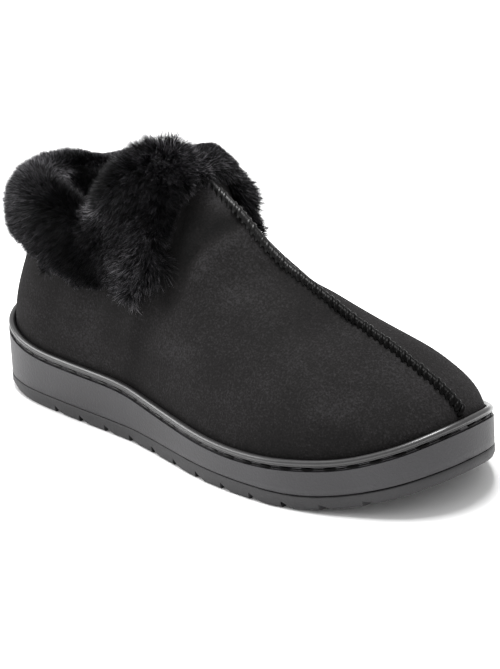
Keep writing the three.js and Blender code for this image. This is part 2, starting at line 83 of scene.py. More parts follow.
def copy_of(node, name):
    """A welded copy of a solid, ready to be shaped."""
    piece = bpy.data.objects.new(name, nodes[node].data.copy())
    piece.data.materials.clear()
    bpy.context.scene.collection.objects.link(piece)
    edit_all(piece, bpy.ops.mesh.remove_doubles, threshold=0.01 * MM)
    edit_all(piece, bpy.ops.mesh.tris_convert_to_quads,
             face_threshold=math.radians(40), shape_threshold=math.radians(60))
    return piece


def modify(piece, kind, **settings):
    """Adds a modifier to a piece and applies it."""
    pick(piece)
    modifier = piece.modifiers.new(kind.title(), kind)
    for setting, value in settings.items():
        setattr(modifier, setting, value)
    bpy.ops.object.modifier_apply(modifier=modifier.name)


def crease_sharp(piece, angle):
    """Marks the edges that are sharper than an angle, so that subdivision keeps them."""
    pick(piece)
    bpy.ops.object.mode_set(mode="EDIT")
    bpy.ops.mesh.select_mode(type="EDGE")
    bpy.ops.mesh.select_all(action="DESELECT")
    bpy.ops.mesh.edges_select_sharp(sharpness=math.radians(angle))
    bpy.ops.transform.edge_crease(value=1.0)
    bpy.ops.object.mode_set(mode="OBJECT")


def finish_piece(piece, material, smooth_angle=40):
    """Smooth shading, a material, a body to ride on and the record's material slot."""
    pick(piece)
    bpy.ops.object.shade_smooth_by_angle(angle=math.radians(smooth_angle))
    piece.data.materials.clear()
    piece.data.materials.append(material)
    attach(piece, "root")
    print(f"{piece.name}: {sum(len(p.vertices) - 2 for p in piece.data.polygons)} triangles")


def points_of(mesh):
    """The vertices of a mesh as rows of x, y, z."""
    rows = np.empty(len(mesh.vertices) * 3)
    mesh.vertices.foreach_get("co", rows)
    return rows.reshape(-1, 3)


def put_points(mesh, rows):
    """Moves the vertices of a mesh to rows of x, y, z."""
    mesh.vertices.foreach_set("co", rows.ravel())
    mesh.update()


def normals_of(mesh):
    """The vertex normals of a mesh as rows of x, y, z."""
    rows = np.empty(len(mesh.vertices) * 3, np.float32)
    mesh.vertex_normals.foreach_get("vector", rows)
    return rows.reshape(-1, 3).astype(float)


# %% [markdown]
# ## The camera
# The camera comes first, because creases, brushed marks and painted light are placed by where they
# are seen. It looks down on the outer side and the toe, from far away and with a long lens, so that
# lines hardly converge. It is rolled a little, as a hand-held camera is.

# %% Camera
azimuth, elevation, roll = (math.radians(angle) for angle in (45.665, 21.530, -3.208))
aim = Vector((6.28, 2.67, 46.34)) * MM
camera_distance = 1556.12 * MM
focal_pixels, frame_width, frame_height = 3536.17, 500, 669
level = math.cos(elevation)
back = Vector((math.sin(azimuth) * level, -math.cos(azimuth) * level, math.sin(elevation)))
right = Vector((math.cos(azimuth), math.sin(azimuth), 0))
above = back.cross(right)
rolled_right = right * math.cos(roll) + above * math.sin(roll)
rolled_up = above * math.cos(roll) - right * math.sin(roll)
camera_data = bpy.data.cameras.new("photo camera")
camera_data.sensor_fit = "VERTICAL"
camera_data.sensor_height = 36.0
camera_data.lens = camera_data.sensor_height * focal_pixels / frame_height
camera = bpy.data.objects.new("photo camera", camera_data)
bpy.context.scene.collection.objects.link(camera)
turn = Matrix((rolled_right, rolled_up, back)).transposed()
camera.matrix_world = Matrix.Translation(aim + back * camera_distance) @ turn.to_4x4()
bpy.context.scene.camera = camera
print("camera lens:", round(camera_data.lens, 1), "mm")


# %% [markdown]
# A place in the picture, in pixels from its top left, is turned into a ray from the camera. Where
# the ray meets a solid is the place on the shoe. A ray that just misses takes the nearest place,
# which is looked for along the ray, in steps of some millimetres on both sides of the aim.

# %% From a place in the picture to a place on the shoe
search_reach, search_step = 160, 4


def surface_of(node):
    """A solid's surface, on which rays and nearest points can be found."""
    mesh = nodes[node].data
    corners = [vertex.co for vertex in mesh.vertices]
    return BVHTree.FromPolygons(corners, [face.vertices[:] for face in mesh.polygons])


def seen_at(surface, across, down):
    """The point of a surface that is seen at a place in the picture."""
    eye = aim + back * camera_distance
    ray = (across - frame_width / 2) * rolled_right + (frame_height / 2 - down) * rolled_up
    ray = (ray - focal_pixels * back).normalized()
    hit = surface.ray_cast(eye, ray)[0]
    if hit:
        return np.array(hit)
    offsets = range(-search_reach, search_reach + 1, search_step)
    passed = [surface.find_nearest(eye + ray * (camera_distance + mm * MM)) for mm in offsets]
    return np.array(min(passed, key=lambda found: found[3])[0])


def seen_line(surface, places):
    """The points of a surface that are seen at several places in the picture."""
    return [seen_at(surface, *place) for place in places]


upper_surface = surface_of("upper")
cuff_surface = surface_of("cuff")
toe_end_seen = (466, 405)
toe_end = seen_at(upper_surface, *toe_end_seen)
print("toe end of the seam:", [round(float(c) / MM) for c in toe_end])

# %% [markdown]
# ## Materials
# Each material starts from what the real one is. Colours are written as they look on a screen, and
# one function turns them into the linear values that Blender works with. A second adds a node with
# its settings and its links, and a third sets or links what goes into a node.


# %% Colour and node helpers
def linear(hex_colour):
    """A screen colour such as #2b2829 as linear red, green, blue and alpha."""
    channels = [int(hex_colour[i:i + 2], 16) / 255 for i in (1, 3, 5)]
    return [c / 12.92 if c <= 0.04045 else ((c + 0.055) / 1.055) ** 2.4 for c in channels] + [1.0]


def new_material(name):
    """An empty material and its surface shader."""
    material = bpy.data.materials.new(name)
    material.use_nodes = True
    return material, material.node_tree.nodes["Principled BSDF"]


def feed(material, node, inputs):
    """Gives a node's sockets, by name or number, a value or another node's output."""
    for socket, value in inputs.items():
        if isinstance(value, bpy.types.NodeSocket):
            material.node_tree.links.new(value, node.inputs[socket])
        else:
            node.inputs[socket].default_value = value


def add_node(material, kind, inputs=None, stops=(), **settings):
    """Adds a node. A colour ramp also takes its stops, each a place and a screen colour."""
    node = material.node_tree.nodes.new(kind)
    for setting, value in settings.items():
        setattr(node, setting, value)
    for k, (place, colour) in enumerate(stops):
        elements = node.color_ramp.elements
        element = elements[k] if k < len(elements) else elements.new(1.0)
        element.position = place
        element.color = linear(colour)
    feed(material, node, inputs or {})
    return node


def per_mm(size):
    """The noise scale whose blobs measure about this many millimetres."""
    return 1 / (size * MM)


# %% [markdown]
# ### Suede cloth
# Faux suede is a knitted polyester whose face is brushed to a short nap. Where a hand or the last
# has pushed the nap one way it looks lighter, and the other way darker, so the cloth shows soft
# cloudy patches 10 to 40 mm across. Nearer, it has a fine mottle. It has no gloss, only a faint
# sheen where the fibres stand against the light. The large marks, partly brushed nap and partly
# painted shade and painted highlight, are placed in an attribute on the cloth, and noise gives the
# rest.

# %% Suede cloth
suede, shader = new_material("brushed faux suede")
place = add_node(suede, "ShaderNodeTexCoord").outputs["Object"]
clouds = add_node(suede, "ShaderNodeTexNoise", {
    "Vector": place, "Scale": per_mm(34), "Detail": 2.0, "Roughness": 0.4, "Distortion": 0.4})
stroke_place = add_node(suede, "ShaderNodeMapping", {
    "Vector": place, "Rotation": (0.3, 0.5, 0.4), "Scale": (1.0, 2.2, 3.0)})
strokes = add_node(suede, "ShaderNodeTexNoise", {
    "Vector": stroke_place.outputs[0], "Scale": per_mm(26), "Detail": 2.0, "Roughness": 0.4})
mottle = add_node(suede, "ShaderNodeTexNoise", {
    "Vector": place, "Scale": per_mm(2.6), "Detail": 4.0, "Roughness": 0.8})
nap = add_node(suede, "ShaderNodeTexNoise", {
    "Vector": place, "Scale": per_mm(0.9), "Detail": 2.0, "Roughness": 0.7})
print("suede patterns:", len(suede.node_tree.nodes), "nodes")

# %% [markdown]
# The patterns are added up, the finest with the most weight, and spread over a ramp from the dark
# nap to the light one. The mottle and the nap also raise the surface a little.

# %% Suede colour and relief
mottle_weight, nap_weight = 1.9, 4.9
patches = add_node(suede, "ShaderNodeMath", {
    0: clouds.outputs["Fac"], 1: strokes.outputs["Fac"]}, operation="ADD")
tone = add_node(suede, "ShaderNodeMath", {
    0: mottle.outputs["Fac"], 1: mottle_weight, 2: patches.outputs[0]}, operation="MULTIPLY_ADD")
fine_tone = add_node(suede, "ShaderNodeMath", {
    0: nap.outputs["Fac"], 1: nap_weight, 2: tone.outputs[0]}, operation="MULTIPLY_ADD")
spread = add_node(suede, "ShaderNodeMapRange", {
    "Value": fine_tone.outputs[0], "From Min": 2.7, "From Max": 6.1})
# The attribute holds the marks placed on the cloth: partly brushed nap, partly painted shade and
# painted highlight.
nap_and_light_attribute = add_node(suede, "ShaderNodeAttribute", attribute_name="nap_and_painted_light")
tone_with_nap_and_light = add_node(suede, "ShaderNodeMath", {
    0: nap_and_light_attribute.outputs["Fac"], 1: spread.outputs[0]}, operation="ADD")
cloth_colour = add_node(suede, "ShaderNodeValToRGB", {"Fac": tone_with_nap_and_light.outputs[0]},
                        stops=[(0.0, "#0f0f0f"), (0.5, "#1a1919"), (1.0, "#2f2e2f")])
pile = add_node(suede, "ShaderNodeMath", {
    0: mottle.outputs["Fac"], 1: nap.outputs["Fac"]}, operation="ADD")
nap_bump = add_node(suede, "ShaderNodeBump", {
    "Height": pile.outputs[0], "Strength": 0.5, "Distance": 0.4 * MM})
feed(suede, shader, {
    "Base Color": cloth_colour.outputs["Color"],
    "Normal": nap_bump.outputs[0],
    "Roughness": 0.92,
    "IOR": 1.45,
    "Specular IOR Level": 0.12,
    "Sheen Weight": 0.06,
    "Sheen Roughness": 0.5,
    "Sheen Tint": linear("#6c6669"),
})
print("suede cloth:", len(suede.node_tree.nodes), "nodes")

# %% [markdown]
# ### Moulded rubber
# The sole is thermoplastic rubber, moulded in one tone of grey. The mould's etched wall leaves a
# fine grain of about half a millimetre, drawn here twice as coarse so that it shows. The welt is the
# same rubber from a polished part of the mould, so it is smooth and shines. The outsole is a little
# duller, and its darker grey is painted shade, for the shade that falls on it towards the toe.


# %% Rubber
def rubber(name, dark, light, roughness, grain, bump, coat):
    """Moulded rubber: two tones of grey in soft clouds, and an etched grain."""
    material, shader = new_material(name)
    place = add_node(material, "ShaderNodeTexCoord").outputs["Object"]
    clouds = add_node(material, "ShaderNodeTexNoise", {
        "Vector": place, "Scale": per_mm(45), "Detail": 3.0})
    specks = add_node(material, "ShaderNodeTexNoise", {
        "Vector": place, "Scale": per_mm(grain), "Detail": 2.0, "Roughness": 0.7})
    mixed = add_node(material, "ShaderNodeMath", {
        0: specks.outputs["Fac"], 1: 0.9, 2: clouds.outputs["Fac"]}, operation="MULTIPLY_ADD")
    spread = add_node(material, "ShaderNodeMapRange", {
        "Value": mixed.outputs[0], "From Min": 0.7, "From Max": 1.2})
    colour = add_node(material, "ShaderNodeValToRGB", {"Fac": spread.outputs[0]},
                      stops=[(0.0, dark), (1.0, light)])
    gloss = add_node(material, "ShaderNodeMapRange", {
        "Value": specks.outputs["Fac"], "To Min": roughness - 0.06, "To Max": roughness + 0.08})
    etched = add_node(material, "ShaderNodeBump", {
        "Height": specks.outputs["Fac"], "Strength": bump, "Distance": 0.2 * MM})
    feed(material, shader, {
        "Base Color": colour.outputs["Color"],
        "Roughness": gloss.outputs[0],
        "Normal": etched.outputs[0],
        "IOR": 1.52,
        "Coat Weight": coat,
        "Coat Roughness": 0.18,
    })
    return material


sidewall_rubber = rubber("etched sidewall rubber", "#1d1b1e", "#28272a",
                         roughness=0.5, grain=1.1, bump=1.0, coat=0.0)
# The outsole's darker grey is painted shade, for the shade towards the toe.
outsole_rubber = rubber("etched outsole rubber", "#1b1a1c", "#232224",
                        roughness=0.6, grain=1.1, bump=1.0, coat=0.0)
welt_rubber = rubber("polished welt rubber", "#1c1c1c", "#262526",
                     roughness=0.36, grain=3.0, bump=0.05, coat=0.35)
print("rubbers:", sidewall_rubber.name, outsole_rubber.name, welt_rubber.name)

# %% [markdown]
# ### Thread
# The stitches are waxed polyester thread, nearly black. Near the throat the wax still shines in
# small beads. Towards the toe it is rubbed off, and the thread is dull.

# %% Thread
thread, shader = new_material("waxed polyester thread")
waxed_to, rubbed_from = 0.0, 60 * MM
place = add_node(thread, "ShaderNodeTexCoord").outputs["Object"]
fibres = add_node(thread, "ShaderNodeTexNoise", {
    "Vector": place, "Scale": per_mm(0.7), "Detail": 3.0})
thread_colour = add_node(thread, "ShaderNodeValToRGB", {"Fac": fibres.outputs["Fac"]},
                         stops=[(0.3, "#020202"), (0.75, "#0c0b0b")])
twist = add_node(thread, "ShaderNodeBump", {
    "Height": fibres.outputs["Fac"], "Strength": 0.4, "Distance": 0.15 * MM})
to_the_toe = add_node(thread, "ShaderNodeSeparateXYZ", {"Vector": place}).outputs["X"]
wax = add_node(thread, "ShaderNodeMapRange", {
    "Value": to_the_toe, "From Min": waxed_to, "From Max": rubbed_from,
    "To Min": 0.28, "To Max": 0.05})
feed(thread, shader, {
    "Base Color": thread_colour.outputs["Color"],
    "Normal": twist.outputs[0],
    "Roughness": 0.34,
    "Specular IOR Level": wax.outputs[0],
})
print("thread:", len(thread.node_tree.nodes), "nodes")

# %% [markdown]
# ### Footbed
# The footbed is covered in short cut pile. Its tufts are round cells, each a little domed.

# %% Footbed cloth
footbed_cloth, shader = new_material("cut pile footbed cloth")
place = add_node(footbed_cloth, "ShaderNodeTexCoord").outputs["Object"]
tufts = add_node(footbed_cloth, "ShaderNodeTexVoronoi", {"Vector": place, "Scale": per_mm(1.6)})
# Each tuft is lighter at its middle and darker at its edge: painted shade between the tufts.
tuft_colour_and_shade = add_node(footbed_cloth, "ShaderNodeValToRGB", {"Fac": tufts.outputs["Distance"]},
                       stops=[(0.1, "#222021"), (0.8, "#0e0d0e")])
tuft_bump = add_node(footbed_cloth, "ShaderNodeBump", {
    "Height": tufts.outputs["Distance"], "Strength": 0.8, "Distance": 0.8 * MM}, invert=True)
feed(footbed_cloth, shader, {
    "Base Color": tuft_colour_and_shade.outputs["Color"],
    "Normal": tuft_bump.outputs[0],
    "Roughness": 0.95,
    "Sheen Weight": 0.3,
})
print("footbed cloth:", len(footbed_cloth.node_tree.nodes), "nodes")

# %% [markdown]
# ### Fur
# The fur is modacrylic: each hair is smooth, so it catches the light along its length. Hairs are
# near black at the root and greyer at the tip, which an attribute on the hairs says. Between them
# shows the dark woven backing. The same attribute also carries painted highlight and painted shade
# along some lines of the cuff.

# %% Fur and its backing
fur, shader = new_material("modacrylic fur")
hair_tone = add_node(fur, "ShaderNodeAttribute", attribute_name="tone")
hair_colour = add_node(fur, "ShaderNodeValToRGB", {"Fac": hair_tone.outputs["Fac"]}, stops=[
    (0.0, "#050505"), (0.3, "#1c1c1e"), (0.65, "#464548"), (0.9, "#7d7b7f"), (1.0, "#b4b2b6")])
feed(fur, shader, {
    "Base Color": hair_colour.outputs["Color"],
    "Roughness": 0.5,
    "Specular IOR Level": 0.2,
    "Sheen Weight": 0.04,
    "Sheen Tint": linear("#7d7d84"),
})

pelt_back, shader = new_material("dark fur backing")
place = add_node(pelt_back, "ShaderNodeTexCoord").outputs["Object"]
weave = add_node(pelt_back, "ShaderNodeTexNoise", {
    "Vector": place, "Scale": per_mm(1.2), "Detail": 3.0})
weave_colour = add_node(pelt_back, "ShaderNodeValToRGB", {"Fac": weave.outputs["Fac"]},
                        stops=[(0.35, "#040405"), (0.7, "#101012")])
feed(pelt_back, shader, {"Base Color": weave_colour.outputs["Color"], "Roughness": 0.95})
print("materials:", len(bpy.data.materials))

# %% [markdown]
# ## The sole
# The cup, the welt and the outsole keep their solids' form. The cup and welt are subdivided, so that
# their long curves run smooth past the flat faces, with the cup's sharp edges held by creases. The
# outsole has crisp lugs, so it gets a small bevel along its edges instead.

# %% Midsole and welt
midsole = copy_of("midsole", "midsole_wall")
crease_sharp(midsole, 35)
modify(midsole, "SUBSURF", levels=2, render_levels=2)
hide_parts("midsole")
finish_piece(midsole, sidewall_rubber, 30)

welt = copy_of("welt", "welt_bead")
modify(welt, "SUBSURF", levels=2, render_levels=2)
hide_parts("welt")
finish_piece(welt, welt_rubber, 60)

# %% Outsole
outsole = copy_of("outsole", "outsole_lugs")
modify(outsole, "BEVEL", width=0.25 * MM, segments=2, limit_method="ANGLE",
       angle_limit=math.radians(32), harden_normals=False)
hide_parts("outsole")
finish_piece(outsole, outsole_rubber, 30)

# %% [markdown]
# ## The upper
# Two panels of suede cloth meet in the raised centre seam. Cloth that was pulled over a last never
# lies perfectly even: it sinks a little beside the cuff, and shallow creases cross the vamp where
# the foot bends. Each crease is a line of points on the panel. The cloth is pushed in along it, and
# swells slightly on both sides, with a soft bell-shaped section.

# %% Subdivide the upper
upper = copy_of("upper", "upper_cloth")
modify(upper, "SUBSURF", levels=2, render_levels=2)
print("upper:", len(upper.data.vertices), "vertices")


# %% Soft creases
def distance_to_line(rows, line):
    """The distance of each point from a line of joined segments."""
    best = np.full(len(rows), np.inf)
    for start, end in zip(line[:-1], line[1:]):
        along = end - start
        share = np.clip(((rows - start) @ along) / (along @ along), 0, 1)
        best = np.minimum(best, np.linalg.norm(rows - start - share[:, None] * along, axis=1))
    return best


def nearness(rows, line, width):
    """How near points are to a line: 1 on it, and less in a bell of a width in millimetres."""
    return np.exp(-(distance_to_line(rows, line) / (width * MM)) ** 2)


# Where each crease is seen in the picture, its half width and its depth in millimetres. A negative
# depth makes a low ridge.
creases = [
    {"seen": [(196, 196), (188, 232), (181, 262), (172, 298)], "width": 8.0, "depth": 1.5},
    {"seen": [(238, 221), (214, 232), (193, 249)], "width": 5.0, "depth": 0.9},
    {"seen": [(246, 229), (224, 243), (204, 257), (194, 280)], "width": 5.0, "depth": -0.8},
    {"seen": [(290, 262), (262, 280), (236, 286)], "width": 8.0, "depth": 0.9},
    {"seen": [(345, 318), (318, 330), (290, 330)], "width": 9.0, "depth": 0.8},
    {"seen": [(152, 318), (140, 356), (132, 392)], "width": 8.0, "depth": 0.9},
    {"seen": [(110, 306), (98, 340), (92, 366)], "width": 9.0, "depth": -0.8},
    {"seen": [(60, 288), (52, 320), (50, 342)], "width": 8.0, "depth": 0.8},
]
# The inner side is hidden, so its creases are given by x and z on the shoe, in millimetres, and
# found by a level ray from outside.
outside = 200 * MM
inner_creases = [
    {"place": [(-10, 92), (-6, 74), (-14, 56)], "width": 8.0, "depth": 1.2},
    {"place": [(36, 76), (20, 64), (8, 52)], "width": 9.0, "depth": 0.9},
    {"place": [(-66, 56), (-70, 40), (-68, 28)], "width": 9.0, "depth": 0.8},
]


def on_inner_side(x, z):
    """The point of the inner panel at x and z, given in millimetres."""
    start = Vector((x * MM, outside, z * MM))
    return np.array(upper_surface.ray_cast(start, Vector((0, -1, 0)))[0])


for crease in creases:
    crease["line"] = seen_line(upper_surface, crease["seen"])
for crease in inner_creases:
    crease["line"] = [on_inner_side(*place) for place in crease["place"]]
rows = points_of(upper.data)
swell = 0.5
push = np.zeros(len(rows))
for crease in creases + inner_creases:
    reach = distance_to_line(rows, crease["line"]) / (crease["width"] * MM)
    push -= crease["depth"] * MM * np.exp(-reach ** 2) * (1 - swell * reach ** 2)
welt_height, guard_height = 34 * MM, 12 * MM
rim_guard = np.clip((rows[:, 2] - welt_height) / guard_height, 0, 1)
put_points(upper.data, rows + normals_of(upper.data) * (push * rim_guard)[:, None])
deepest = round(float(-push.min() / MM), 2)
print("creases:", len(creases) + len(inner_creases), "deepest", deepest, "mm")

# %% [markdown]
# Marks are soft strokes on the cloth, lighter or darker, partly brushed nap and partly painted
# light. The cloth beside the cuff gets painted shade, where the cuff's shadow falls in the trough
# there. The creases get painted shade and their low ridges painted highlight, and a band of painted
# highlight crosses from the seam to the cuff's point. Each has its places in the picture, its half
# width in millimetres and its tone.

# %% Brushed nap and painted light
nap_and_light_marks = [
    {"seen": [(188, 206), (184, 234), (177, 262), (168, 294)], "width": 6.0, "tone": -0.3},
    {"seen": [(192, 222), (214, 226), (232, 220)], "width": 5.0, "tone": -0.2},
    {"seen": [(234, 221), (213, 233), (192, 249), (186, 262)], "width": 4.0, "tone": -0.3},
    {"seen": [(246, 230), (225, 243), (205, 257), (197, 272)], "width": 4.5, "tone": 0.22},
    {"seen": [(206, 192), (222, 204), (230, 211)], "width": 5.0, "tone": 0.3},
    {"seen": [(262, 250), (250, 280), (226, 300)], "width": 9.0, "tone": 0.08},
    {"seen": [(272, 262), (296, 282), (312, 312)], "width": 8.0, "tone": -0.14},
    {"seen": [(318, 402), (338, 412), (350, 404)], "width": 6.0, "tone": 0.14},
    {"seen": [(156, 322), (166, 340), (186, 350)], "width": 9.0, "tone": 0.08},
    {"seen": [(148, 318), (138, 352), (130, 386)], "width": 7.0, "tone": -0.12},
    {"seen": [(92, 318), (84, 340), (80, 360)], "width": 8.0, "tone": 0.1},
    {"seen": [(360, 330), (392, 352), (420, 378)], "width": 8.0, "tone": 0.08},
    {"seen": [(250, 440), (300, 448), (350, 446)], "width": 8.0, "tone": -0.14},
]
rows = points_of(upper.data)
nap_and_painted_light = np.zeros(len(rows))
for mark in nap_and_light_marks:
    line = seen_line(upper_surface, mark["seen"])
    nap_and_painted_light += mark["tone"] * nearness(rows, line, mark["width"])
layer = upper.data.attributes.new("nap_and_painted_light", "FLOAT", "POINT")
layer.data.foreach_set("value", nap_and_painted_light)
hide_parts("upper")
finish_piece(upper, suede, 60)
print("brushed marks:", len(nap_and_light_marks))

# %% [markdown]
# ## The centre seam's stitches
# The panels are overcast: a thick thread goes over the ridge again and again at a slant, so the
# seam looks like a rope. The crest is found on the solid, by looking down on it along the middle of
# the shoe and keeping the highest place of each row. The seam's ends, the rows and the reach to the
# sides are in millimetres.

# %% Follow the crest
seam_start, seam_end, row_step = -18.0, 132.0, 0.5
side_reach, side_step = 8, 0.25
eye_height = 300 * MM
straighten_rounds = 4


def lengths_along(line):
    """The length from a line's start to each of its points."""
    return np.concatenate([[0], np.cumsum(np.linalg.norm(np.diff(line, axis=0), axis=1))])


def places_on(line, lengths, wanted):
    """The places on a line at wanted lengths from its start."""
    return np.stack([np.interp(wanted, lengths, line[:, axis]) for axis in range(3)], axis=-1)


crest = []
for x in np.arange(seam_start, seam_end, row_step):
    highest = None
    for y in np.arange(-side_reach, side_reach, side_step):
        hit = upper_surface.ray_cast(Vector((x * MM, y * MM, eye_height)), Vector((0, 0, -1)))[0]
        if hit and (highest is None or hit.z > highest.z):
            highest = hit
    if highest:
        crest.append(np.array(highest))
crest = np.array(crest)
for _ in range(straighten_rounds):
    crest[1:-1, 1] = (crest[:-2, 1] + 2 * crest[1:-1, 1] + crest[2:, 1]) / 4
crest_lengths = lengths_along(crest)
print("seam:", round(crest_lengths[-1] / MM), "mm long")

# %% [markdown]
# One stitch is a bent tube, thick in the middle and thin where it dives into the cloth. Its points
# are worked out, because it has to lie across the crest wherever the crest goes. The stitches
# become one mesh, together with a core cord that fills the ridge between them.


# %% Tubes, and many parts as one piece
def tube(path, radii, sides):
    """A closed tapered tube along a path, as points and faces."""
    path = np.array(path)
    tangents = np.gradient(path, axis=0)
    points, faces = [], []
    never_along = np.array([0.3, 0.2, 0.93])
    for centre, tangent, radius in zip(path, tangents, radii):
        tangent = tangent / np.linalg.norm(tangent)
        first = np.cross(tangent, never_along)
        first /= np.linalg.norm(first)
        second = np.cross(tangent, first)
        for k in range(sides):
            turn = 2 * math.pi * k / sides
            points.append(centre + radius * (math.cos(turn) * first + math.sin(turn) * second))
    for ring in range(len(path) - 1):
        for k in range(sides):
            a, b = ring * sides + k, ring * sides + (k + 1) % sides
            faces.append((a, a + sides, b + sides, b))
    faces.append(tuple(range(sides)))
    faces.append(tuple((len(path) - 1) * sides + k for k in reversed(range(sides))))
    return points, faces


def joined(name, parts):
    """One mesh object from many small parts of points and faces."""
    points, faces = [], []
    for part_points, part_faces in parts:
        shift = len(points)
        points += [tuple(p) for p in part_points]
        faces += [tuple(i + shift for i in face) for face in part_faces]
    mesh = bpy.data.meshes.new(name)
    mesh.from_pydata(points, [], faces)
    piece = bpy.data.objects.new(name, mesh)
    bpy.context.scene.collection.objects.link(piece)
    edit_all(piece, bpy.ops.mesh.normals_make_consistent, inside=False)
    return piece


# %% One stitch, copied along the seam
stitch_pitch, first_stitch = 3.4 * MM, 1.5 * MM
stitch_reach, stitch_slant, stitch_drop = 2.0 * MM, 2.1 * MM, 1.8 * MM
stitch_radius, radius_change, change_length = 1.45 * MM, 0.2 * MM, 1.7 * MM
drop_power, end_thinning, least_thickness = 2.2, 0.75, 0.1
look_ahead, shortest_step = 2 * MM, 0.5 * MM
core_radius, core_end_radius, core_depth, core_every = 2.0 * MM, 0.8 * MM, 0.9 * MM, 4
shares = np.linspace(-1, 1, 9)


def stitch_at(at):
    """One stitch over the crest at a length from its start, or none where the crest stops."""
    centre = places_on(crest, crest_lengths, at)
    ahead = places_on(crest, crest_lengths, min(at + look_ahead, crest_lengths[-1]))
    if np.linalg.norm(ahead - centre) < shortest_step:
        return None
    forward = (ahead - centre) / np.linalg.norm(ahead - centre)
    across = np.cross(forward, (0, 0, 1))
    across /= np.linalg.norm(across)
    away = np.cross(across, forward)
    path = [centre + across * share * stitch_reach + forward * share * stitch_slant
            - away * stitch_drop * abs(share) ** drop_power for share in shares]
    thick = stitch_radius + radius_change * math.sin(at / change_length)
    thinned = [max(1 - end_thinning * share ** 4, least_thickness) for share in shares]
    radii = [thick * math.sqrt(share) for share in thinned]
    return tube(path, radii, sides=8)


stitches = [stitch_at(at) for at in np.arange(first_stitch, crest_lengths[-1], stitch_pitch)]
stitches = [stitch for stitch in stitches if stitch]
core_line = crest[::core_every] - np.array([0, 0, core_depth])
core_radii = np.full(len(core_line), core_radius)
core_radii[[0, -1]] = core_end_radius
seam_stitches = joined("seam_stitches", stitches + [tube(core_line, core_radii, sides=10)])
finish_piece(seam_stitches, thread, 60)
print("overcast stitches:", len(stitches))

# %% [markdown]
# ## The dashed stitching round the sole
# A thread runs in the groove between the cup's wall and the welt. It shows as dashes, and between
# them it is pulled tight and looks thinner. The groove's line is read from the solid: rays come in
# level from outside, from the top down, until the wall steps out below the groove. Their heights
# are in millimetres. A ray that passes over the wall and meets the far side doesn't count.

# %% Find the groove
cup = surface_of("midsole")
directions = 720
start_distance, centre_reach, centre_side = 250 * MM, 76.5 * MM, 2 * MM
top_height, bottom_height, height_step = 44, 12, 0.25
wall_step, groove_rise = 0.5 * MM, 0.7 * MM
smooth_rounds = 3


def groove_place(turn):
    """The bottom of the groove in one direction from the sole's middle line."""
    inward = Vector((-math.cos(turn), -math.sin(turn), 0))
    middle = Vector((centre_reach * math.cos(turn), centre_side, 0))
    first_reach, bottom = None, None
    for z in np.arange(top_height, bottom_height, -height_step):
        start = middle - inward * start_distance + Vector((0, 0, z * MM))
        hit = cup.ray_cast(start, inward)[0]
        if hit is None or (hit - middle).dot(inward) > 0:
            continue
        reach = (hit - middle).xy.length
        if first_reach is None:
            first_reach = reach
        elif reach > first_reach + wall_step:
            break
        bottom = hit
    return np.array(bottom) + np.array([0, 0, groove_rise])


turns = np.linspace(0, 2 * math.pi, directions + 1)[:-1]
groove = [groove_place(turn) for turn in turns]
groove = np.array(groove + groove[:1])
for _ in range(smooth_rounds):
    groove[1:-1] = (groove[:-2] + 2 * groove[1:-1] + groove[2:]) / 4
groove_lengths = lengths_along(groove)
jump = float(np.abs(np.diff(groove[:, 2])).max())
print("groove:", round(groove_lengths[-1] / MM), "mm, highest jump", round(jump / MM, 2), "mm")

# %% Stitches in the groove
dash_pitch, dash_length, dash_radius = 10.4 * MM, 6.2 * MM, 0.62 * MM
deep_radius, deep_overlap = 0.26 * MM, 0.5 * MM
round_ends = (0.5, 0.88, 1, 1, 0.88, 0.5)


def along_groove(start, end, radius):
    """A tube with rounded ends that lies in the groove between two lengths."""
    path = places_on(groove, groove_lengths, np.linspace(start, end, len(round_ends)))
    return tube(path, [radius * share for share in round_ends], sides=6)


dashes, deep_runs = [], []
for start in np.arange(0, groove_lengths[-1] - dash_pitch, dash_pitch):
    end, next_start = start + dash_length, start + dash_pitch
    dashes.append(along_groove(start, end, dash_radius))
    deep_runs.append(along_groove(end - deep_overlap, next_start + deep_overlap, deep_radius))
groove_stitches = joined("groove_stitches", dashes + deep_runs)
finish_piece(groove_stitches, thread, 60)
print("dashes:", len(dashes))

# %% [markdown]
# ## The footbed
# Inside, the foot stands on a padded footbed. Its solid stays as it is, only rounder at the rim.

# %% Footbed
footbed = copy_of("insole", "footbed_pad")
crease_sharp(footbed, 60)
modify(footbed, "SUBSURF", levels=2, render_levels=2)
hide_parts("insole")
finish_piece(footbed, footbed_cloth, 50)

# %% [markdown]
# ## The fur cuff: backing
# Fur is a woven backing with pile on it. The solid is the outside of the pile, so the backing lies
# deeper. The solid's copy is remeshed into even faces, its locks are smoothed away, and each point
# is drawn towards the upper until the backing is little more than half as thick. One lock that
# hangs too low on the outer side is tucked away under the upper's face.

# %% Backing
backing_share = 0.6
tucked_lock, tucked_share, tucked_width = [(60, 292), (70, 300)], 1.25, 6
backing = copy_of("cuff", "cuff_backing")
pick(backing)
backing.data.remesh_voxel_size = 1.5 * MM
bpy.ops.object.voxel_remesh()
modify(backing, "SMOOTH", factor=0.6, iterations=28)
rows = points_of(backing.data)
found = [upper_surface.find_nearest(Vector(row)) for row in rows]
on_upper = np.array([place for place, _, _, _ in found])
gap = np.array([distance for _, _, _, distance in found])
tucked = nearness(rows, seen_line(cuff_surface, tucked_lock), tucked_width)
kept_share = backing_share * (1 - tucked_share * tucked)
put_points(backing.data, on_upper + (rows - on_upper) * kept_share[:, None])
gap *= 1 - tucked
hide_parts("cuff")
finish_piece(backing, pelt_back, 60)
print("backing: deepest", round(float(gap.max()) * backing_share / MM, 1), "mm")
